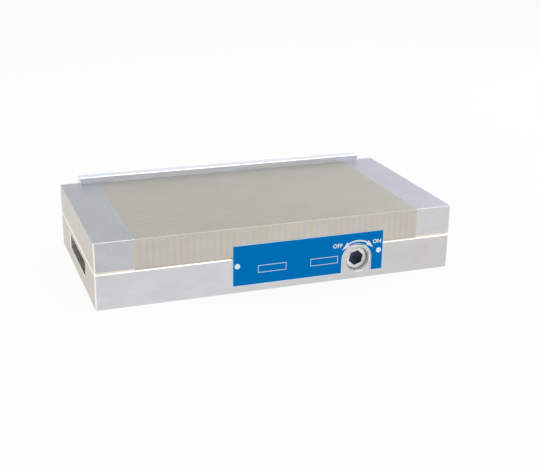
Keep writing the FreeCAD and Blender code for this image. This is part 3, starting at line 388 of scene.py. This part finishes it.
def plain_solid(name, colour, grain, contrast, low, high, **values):
    """A moulded, pressed or printed solid with a fine grain, in millimetres."""
    material, tree, shader = new_finish(name, **values)
    speck = marks(tree, (grain, grain, grain))
    tree.links.new(shaded(tree, colour, contrast, speck), shader.inputs["Base Color"])
    rough_and_raised(tree, shader, speck, 0.004, low, high)
    return material


def dyed_aluminium(name, colour):
    """Anodised aluminium dyed blue: a deep colour with a soft metal sheen and no white gloss.

    The rolling grain under the dye lies about 0.05 mm apart. It is drawn 1 mm apart.
    """
    material, tree, shader = new_finish(name, Metallic=1.0)
    grain = marks(tree, (12, 12, 1.0))
    tree.links.new(shaded(tree, colour, 0.02, grain), shader.inputs["Base Color"])
    rough_and_raised(tree, shader, grain, 0.001, 0.46, 0.54)
    return material


def finish_node(node, material):
    """Give a CAD node its material."""
    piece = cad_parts[node]
    if not piece.material_slots:
        piece.data.materials.append(material)
    for slot in piece.material_slots:
        slot.material = material


# ---------------------------------------------------------------- pieces of the label

def polar(centre, radius, degrees):
    """A point at a distance from the centre, in degrees anticlockwise from the right."""
    angle = math.radians(degrees)
    return (centre[0] + radius * math.cos(angle), centre[1] + radius * math.sin(angle))


def arc(centre, radius, start, end, steps):
    """Points of an arc, from start to end in degrees."""
    return [polar(centre, radius, start + (end - start) * i / steps) for i in range(steps + 1)]


def circle(centre, radius, sides):
    """Points of a full circle."""
    return [polar(centre, radius, 360 * i / sides) for i in range(sides)]


def rounded_box(left, bottom, right, top, radius, steps):
    """Points of a box with round corners, anticlockwise from its lower left corner."""
    return (arc((left + radius, bottom + radius), radius, 180, 270, steps)
            + arc((right - radius, bottom + radius), radius, 270, 360, steps)
            + arc((right - radius, top - radius), radius, 0, 90, steps)
            + arc((left + radius, top - radius), radius, 90, 180, steps))


def laid_on_label(name, curve, ink, layer, material):
    """Turn a flat curve into a closed slab of ink on the label, in the given layer, riding on the chassis."""
    weld = 1e-7
    curve.extrude = ink / 2
    maker = bpy.data.objects.new(name + "_outline", curve)
    bpy.context.scene.collection.objects.link(maker)
    bpy.context.view_layer.update()
    mesh = bpy.data.meshes.new_from_object(maker.evaluated_get(bpy.context.evaluated_depsgraph_get()))
    bpy.data.objects.remove(maker)
    face = LABEL_LOW.y - (layer + 0.5) * ink
    mesh.transform(Matrix.Translation((0, face, 0)) @ Matrix.Rotation(math.pi / 2, 4, "X"))
    solid = bmesh.new()
    solid.from_mesh(mesh)
    bmesh.ops.remove_doubles(solid, verts=solid.verts, dist=weld)
    bmesh.ops.recalc_face_normals(solid, faces=solid.faces)
    solid.to_mesh(mesh)
    solid.free()
    mesh.materials.clear()
    mesh.materials.append(material)
    piece = bpy.data.objects.new(name, mesh)
    bpy.context.scene.collection.objects.link(piece)
    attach(piece, "chassis")
    return piece


def flat_curve(name, outlines):
    """A filled flat curve with straight edges. Inner outlines are holes."""
    curve = bpy.data.curves.new(name, "CURVE")
    curve.dimensions = "2D"
    curve.fill_mode = "BOTH"
    for outline in outlines:
        spline = curve.splines.new("POLY")
        spline.points.add(len(outline) - 1)
        for point, (x, z) in zip(spline.points, outline):
            point.co = (x, z, 0, 1)
        spline.use_cyclic_u = True
    return curve


def pin_places():
    """Centres of the two label pins."""
    radius = (PINS_HIGH.z - PINS_LOW.z) / 2
    middle = (PINS_HIGH.z + PINS_LOW.z) / 2
    return [(PINS_LOW.x + radius, middle), (PINS_HIGH.x - radius, middle)]


def field_outlines(sizes):
    """The blue field: the label less a bare edge, the window for the key socket and the pin holes."""
    corner_steps = 6
    left, right = LABEL_LOW.x + sizes.edge, LABEL_HIGH.x - sizes.edge
    bottom, top = LABEL_LOW.z + sizes.edge, LABEL_HIGH.z - sizes.edge
    reach = sizes.window + sizes.edge
    middle = (CAM_AXIS.x - sizes.window_shift, CAM_AXIS.z + sizes.window_rise)
    window = [(middle[0] - reach, bottom), *arc(middle, reach, 180, 0, 48), (middle[0] + reach, bottom)]
    corners = rounded_box(left, bottom, right, top, sizes.corner, corner_steps)
    first_corner = corner_steps + 1
    outline = corners[:first_corner] + window + corners[first_corner:]
    holes = [circle(centre, sizes.pin_hole, 24) for centre in pin_places()]
    return [outline, *holes]


def arrow_outline(sizes):
    """An arrow with two heads, bent over the key socket."""
    centre = (CAM_AXIS.x - sizes.arrow_shift, CAM_AXIS.z - sizes.arrow_drop)
    radius, half, barb = sizes.arrow_radius, sizes.arrow_line / 2, sizes.arrow_head / 2
    upright, base, tip, steps = 90, 29, 53, 32
    outer = arc(centre, radius + half, upright + base, upright - base, steps)
    inner = arc(centre, radius - half, upright - base, upright + base, steps)
    right_head = [polar(centre, radius + barb, upright - base),
                  polar(centre, radius, upright - tip),
                  polar(centre, radius - barb, upright - base)]
    left_head = [polar(centre, radius - barb, upright + base),
                 polar(centre, radius, upright + tip),
                 polar(centre, radius + barb, upright + base)]
    return outer + right_head + inner + left_head


def word_curve(name, word, along, up, sizes):
    """A short word in capitals, centred on a point of the label."""
    capital_share = 0.73
    curve = bpy.data.curves.new(name, "FONT")
    curve.body = word
    curve.align_x = "CENTER"
    curve.align_y = "CENTER"
    curve.size = sizes.cap_height / capital_share
    curve.offset = sizes.stroke_growth
    curve.space_character = 1.04
    curve.offset_x = LABEL_LOW.x + along
    curve.offset_y = LABEL_LOW.z + up
    return curve


def frame_outlines(sizes, along):
    """An empty frame for a number."""
    left, bottom = LABEL_LOW.x + along, LABEL_LOW.z + sizes.frame_up
    right, top = left + sizes.frame_width, bottom + sizes.frame_height
    line = sizes.frame_line
    outer = [(left, bottom), (right, bottom), (right, top), (left, top)]
    inner = [(left + line, bottom + line), (right - line, bottom + line),
             (right - line, top - line), (left + line, top - line)]
    return [outer, inner]


# ---------------------------------------------------------------- operators

class CHUCK_OT_housing(Operator):
    """Finish the housing and the solid ends of the work plate"""
    bl_idname = "chuck.housing"
    bl_label = "Housing and End Blocks"

    def execute(self, context):
        colours = context.scene.chuck_colours
        # Painted light and shade: the housing is lighter at its left end than at its right, and takes its
        # right-end tone on top.
        finish_node("base_housing", ground_steel(
            "ground_mild_steel_housing", colours.housing_left, colours.housing_right,
            colours.housing_right, colours))
        # Painted light and shade: each block's top takes a darker tone than its sides.
        for side in ("left", "right"):
            colour = getattr(colours, "block_" + side)
            top = getattr(colours, "top_" + side)
            finish_node("end_block_" + side, ground_steel(
                "ground_mild_steel_block_" + side, colour, colour, top, colours))
        return {"FINISHED"}


class CHUCK_OT_strips(Operator):
    """Finish the brass and steel strips of the work plate"""
    bl_idname = "chuck.strips"
    bl_label = "Brass and Steel Strips"

    def execute(self, context):
        colours = context.scene.chuck_colours
        # Rolled brass, ground: a pale, dull gold.
        finish_node("brass_strips", strip_finish(
            "ground_rolled_brass", colours.brass, linear("#C5C3BF"), linear("#D3C6AF")))
        # Rolled mild steel, ground: a level grey.
        finish_node("steel_strips", strip_finish(
            "ground_rolled_steel", colours.steel, linear("#C2C2C4"), linear("#CDC4B4")))
        return {"FINISHED"}


class CHUCK_OT_rail(Operator):
    """Finish the stop rail"""
    bl_idname = "chuck.rail"
    bl_label = "Stop Rail"

    def execute(self, context):
        # Ground flat bar: bright, with streaks along its length.
        finish_node("stop_rail", tooled_metal(
            "ground_flat_bar", context.scene.chuck_colours.rail, (16, 0.8, 0.8), 0.03, 0.006, 0.36, 0.46))
        return {"FINISHED"}


class CHUCK_OT_fasteners(Operator):
    """Finish the screws, the dowels, the gasket and the seal"""
    bl_idname = "chuck.fasteners"
    bl_label = "Screws, Dowels and Gasket"

    def execute(self, context):
        # Black oxide on alloy steel: nearly black with a dull oily sheen.
        black = tooled_metal("black_oxide_steel", linear("#3A3B3E"), (1.5, 1.5, 1.5), 0.08, 0.004, 0.34, 0.46)
        # Ground hardened steel: bright and smooth.
        bright = tooled_metal("ground_dowel_steel", linear("#C6C7CA"), (0.8, 0.8, 6), 0.03, 0.003, 0.2, 0.3)
        # Moulded nitrile rubber: dull black with a faint bloom.
        rubber = plain_solid("moulded_nitrile_rubber", linear("#1E1F20"), 1.2, 0.12, 0.6, 0.75, IOR=1.52)
        for node in ("plate_screws", "rail_screws", "fork_screws", "carrier_screws", "roller_clip"):
            finish_node(node, black)
        finish_node("plate_dowels", bright)
        finish_node("plate_gasket", rubber)
        finish_node("cam_seal", rubber)
        return {"FINISHED"}


class CHUCK_OT_cam(Operator):
    """Finish the cam shaft and what holds it"""
    bl_idname = "chuck.cam"
    bl_label = "Cam Shaft"

    def execute(self, context):
        colours = context.scene.chuck_colours
        # The socket colour is painted shade on the walls of the hexagon socket.
        finish_node("camshaft", turned_steel("turned_cam_steel", linear("#E4E4E8"), colours.socket))
        # Sintered bronze: brown gold with dull pores.
        bronze = tooled_metal("sintered_bronze", linear("#B08D57"), (0.8, 0.8, 0.8), 0.08, 0.006, 0.38, 0.52)
        # Milled steel: grey with even cutter marks.
        milled = tooled_metal("milled_fork_steel", linear("#B4B5B8"), (1.2, 6, 6), 0.05, 0.006, 0.3, 0.42)
        # Tin-plated steel shell of a wrapped bush: pale grey and satin.
        plated = tooled_metal(
            "tin_plated_bush_steel", linear("#C9C8C6"), (3, 3, 0.8), 0.03, 0.003, 0.36, 0.48)
        finish_node("cam_bush", plated)
        finish_node("wear_strips", bronze)
        finish_node("cam_fork", milled)
        finish_node("cam_roller", milled)
        return {"FINISHED"}


class CHUCK_OT_magnets(Operator):
    """Finish the magnet pack and its guides"""
    bl_idname = "chuck.magnets"
    bl_label = "Magnet Pack"

    def execute(self, context):
        # Milled pole steel: mid grey with cutter marks along the bars.
        core = tooled_metal("milled_pole_steel", linear("#A3A4A7"), (1.4, 12, 1.4), 0.05, 0.008, 0.34, 0.46)
        # Milled aluminium: pale, with cutter marks.
        pale = tooled_metal("milled_aluminium", linear("#CCCED1"), (1.2, 9, 1.2), 0.04, 0.006, 0.3, 0.42)
        # Sintered ferrite, ground on its faces: charcoal with a fine dull grain.
        ferrite = plain_solid("sintered_ferrite", linear("#35363A"), 0.9, 0.14, 0.55, 0.7, IOR=2.2)
        # Moulded acetal: smooth off-white plastic.
        acetal = plain_solid("moulded_acetal", linear("#E6E5DE"), 3.0, 0.02, 0.34, 0.42, IOR=1.48)
        for node in ("keeper_plate", "yoke_bar", "rear_bar", "pole_bars"):
            finish_node(node, core)
        finish_node("carrier_end_bars", pale)
        finish_node("magnets_north", ferrite)
        finish_node("magnets_south", ferrite)
        finish_node("side_guides", acetal)
        return {"FINISHED"}


class CHUCK_OT_label(Operator):
    """Finish the label and its pins, and lay the blue field on the label"""
    bl_idname = "chuck.label"
    bl_label = "Label Field"

    def execute(self, context):
        sizes = context.scene.chuck_label
        # Satin anodised aluminium: pale, cool and even.
        satin = tooled_metal(
            "satin_anodised_aluminium", linear("#DCEEFC"), (9, 9, 0.9), 0.015, 0.002, 0.32, 0.4)
        finish_node("label_plate", satin)
        finish_node("label_pins", satin)
        blue = dyed_aluminium("blue_dyed_aluminium", context.scene.chuck_colours.label)
        laid_on_label("label_field", flat_curve("label_field", field_outlines(sizes)), sizes.ink, 0, blue)
        return {"FINISHED"}


class CHUCK_OT_print(Operator):
    """Lay the arrow, the two words and the empty frames on the label"""
    bl_idname = "chuck.print"
    bl_label = "Label Print"

    def execute(self, context):
        sizes = context.scene.chuck_label
        # Screen-printed enamel ink: opaque white with a low gloss.
        white = plain_solid("white_enamel_ink", linear("#F7F9FB"), 1.5, 0.01, 0.4, 0.5, IOR=1.5)
        left_frame = frame_outlines(sizes, sizes.left_frame_along)
        right_frame = frame_outlines(sizes, sizes.right_frame_along)
        prints = {
            "label_arrow": flat_curve("label_arrow", [arrow_outline(sizes)]),
            "label_off": word_curve("label_off", "OFF", sizes.off_along, sizes.off_up, sizes),
            "label_on": word_curve("label_on", "ON", sizes.on_along, sizes.on_up, sizes),
            "label_frame_left": flat_curve("label_frame_left", left_frame),
            "label_frame_right": flat_curve("label_frame_right", right_frame),
        }
        for name, curve in prints.items():
            laid_on_label(name, curve, sizes.ink, 1, white)
        return {"FINISHED"}


def white_to_the_eye(tree):
    """1 for what the camera sees, direct, reflected or through glass, and 0 for light on the object."""
    path = add_node(tree, "ShaderNodeLightPath")
    direct = add_node(tree, "ShaderNodeMath", {"operation": "ADD"}, {
        FIRST: path.outputs["Is Camera Ray"], SECOND: path.outputs["Is Glossy Ray"]})
    return add_node(tree, "ShaderNodeMath", {"operation": "ADD", "use_clamp": True}, {
        FIRST: direct.outputs["Value"], SECOND: path.outputs["Is Transmission Ray"]}).outputs["Value"]


def white_room(ambient):
    """A room that looks white and lights the object at the ambient strength."""
    world = bpy.data.worlds.new("white_room")
    world.use_nodes = True
    tree = world.node_tree
    tree.nodes.clear()
    strength = add_node(tree, "ShaderNodeMapRange", inputs={
        "Value": white_to_the_eye(tree), "To Min": ambient, "To Max": 1.0})
    back = add_node(tree, "ShaderNodeBackground", inputs={
        "Color": WHITE, "Strength": strength.outputs["Result"]})
    add_node(tree, "ShaderNodeOutputWorld", inputs={"Surface": back.outputs["Background"]})
    bpy.context.scene.world = world


def white_paper(glow_share):
    """Matt white paper: bright and even, with no gloss, and part plain white to the eye."""
    material, tree, shader = new_finish("matt_white_paper", **{
        "Base Color": linear("#F6F6F6"), "Roughness": 0.95, "Specular IOR Level": 0.1})
    glow = add_node(tree, "ShaderNodeEmission", inputs={"Color": WHITE, "Strength": 1.0})
    share = add_node(tree, "ShaderNodeMath", {"operation": "MULTIPLY"}, {
        FIRST: white_to_the_eye(tree), SECOND: glow_share})
    both = add_node(tree, "ShaderNodeMixShader", inputs={
        FIRST: share.outputs["Value"], SECOND: shader.outputs["BSDF"], THIRD: glow.outputs["Emission"]})
    output = next(node for node in tree.nodes if node.type == "OUTPUT_MATERIAL")
    tree.links.new(both.outputs["Shader"], output.inputs["Surface"])
    return material


def paper_floor(glow_share):
    """A wide sheet of paper that keeps part of the object's shadow."""
    half = 4.0
    drop = 0.05 * MM
    sheet = bmesh.new()
    bmesh.ops.create_grid(sheet, x_segments=1, y_segments=1, size=half)
    mesh = bpy.data.meshes.new("floor")
    sheet.to_mesh(mesh)
    sheet.free()
    mesh.materials.append(white_paper(glow_share))
    floor = bpy.data.objects.new("floor", mesh)
    floor.location = (0, 0, CAD_BOX[0][2] - drop)
    bpy.context.scene.collection.objects.link(floor)


def softbox(name, place, aim, size, power, colour):
    """A soft lamp that looks at a point. Places and sizes are in metres and power is in watts."""
    light = bpy.data.lights.new(name, "AREA")
    light.shape = "RECTANGLE"
    light.size, light.size_y = size
    light.energy = power
    light.color = linear(colour)[:3]
    lamp = bpy.data.objects.new(name, light)
    lamp.location = place
    lamp.rotation_mode = "QUATERNION"
    lamp.rotation_quaternion = (Vector(aim) - Vector(place)).to_track_quat("-Z", "Y")
    lamp.visible_camera = False
    bpy.context.scene.collection.objects.link(lamp)


def studio_camera(studio):
    """The camera, turned by azimuth, elevation and roll round the point it looks at."""
    camera = bpy.data.cameras.new("camera")
    camera.lens = studio.lens
    camera.sensor_width = 36.0
    camera.clip_start = 0.01
    camera.clip_end = 50.0
    turned = (Matrix.Rotation(-studio.azimuth, 4, "Z")
              @ Matrix.Rotation(math.pi / 2 - studio.elevation, 4, "X")
              @ Matrix.Rotation(studio.roll, 4, "Z"))
    holder = bpy.data.objects.new("camera", camera)
    away = Matrix.Translation((0, 0, studio.distance))
    holder.matrix_world = Matrix.Translation(studio.aim) @ turned @ away
    bpy.context.scene.collection.objects.link(holder)
    bpy.context.scene.camera = holder


class CHUCK_OT_stage(Operator):
    """Set up the floor, the light and the camera"""
    bl_idname = "chuck.stage"
    bl_label = "Studio"

    def execute(self, context):
        studio = context.scene.chuck_studio
        context.scene.view_settings.view_transform = "Standard"
        white_room(studio.ambient)
        paper_floor(studio.glow)
        share = studio.lamps
        softbox("overhead_lamp", (0.3, -0.35, 1.1), (0, 0, 0), (0.7, 0.7), 2.5 * share, "#F4F8FF")
        softbox("left_lamp", (-1.0, -0.1, 0.5), (0, 0, 0), (0.8, 0.6), 3.0 * share, "#FFEBCF")
        softbox("right_lamp", (0.75, 0.35, 0.45), (0.1, 0, 0), (0.6, 0.5), 2.0 * share, "#EEF0FF")
        studio_camera(studio)
        return {"FINISHED"}


OPERATORS = (CHUCK_OT_housing, CHUCK_OT_strips, CHUCK_OT_rail, CHUCK_OT_fasteners, CHUCK_OT_cam,
             CHUCK_OT_magnets, CHUCK_OT_label, CHUCK_OT_print, CHUCK_OT_stage)


class CHUCK_PT_panel(Panel):
    """The steps that dress the chuck, in order"""
    bl_idname = "CHUCK_PT_panel"
    bl_label = "Magnetic Chuck"
    bl_space_type = "VIEW_3D"
    bl_region_type = "UI"
    bl_category = "Chuck"

    def draw(self, context):
        for operator in OPERATORS:
            self.layout.operator(operator.bl_idname)


SETTINGS = {"chuck_label": ChuckLabelSizes, "chuck_colours": ChuckColours, "chuck_studio": ChuckStudio}


def register():
    for kind in (*SETTINGS.values(), *OPERATORS, CHUCK_PT_panel):
        bpy.utils.register_class(kind)
    for name, kind in SETTINGS.items():
        setattr(bpy.types.Scene, name, PointerProperty(type=kind))


def unregister():
    for name in SETTINGS:
        delattr(bpy.types.Scene, name)
    for kind in (CHUCK_PT_panel, *reversed(OPERATORS), *SETTINGS.values()):
        bpy.utils.unregister_class(kind)


def main():
    """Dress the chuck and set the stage."""
    register()
    for operator in OPERATORS:
        group, name = operator.bl_idname.split(".")
        getattr(getattr(bpy.ops, group), name)()


if __name__ == "__main__":
    main()
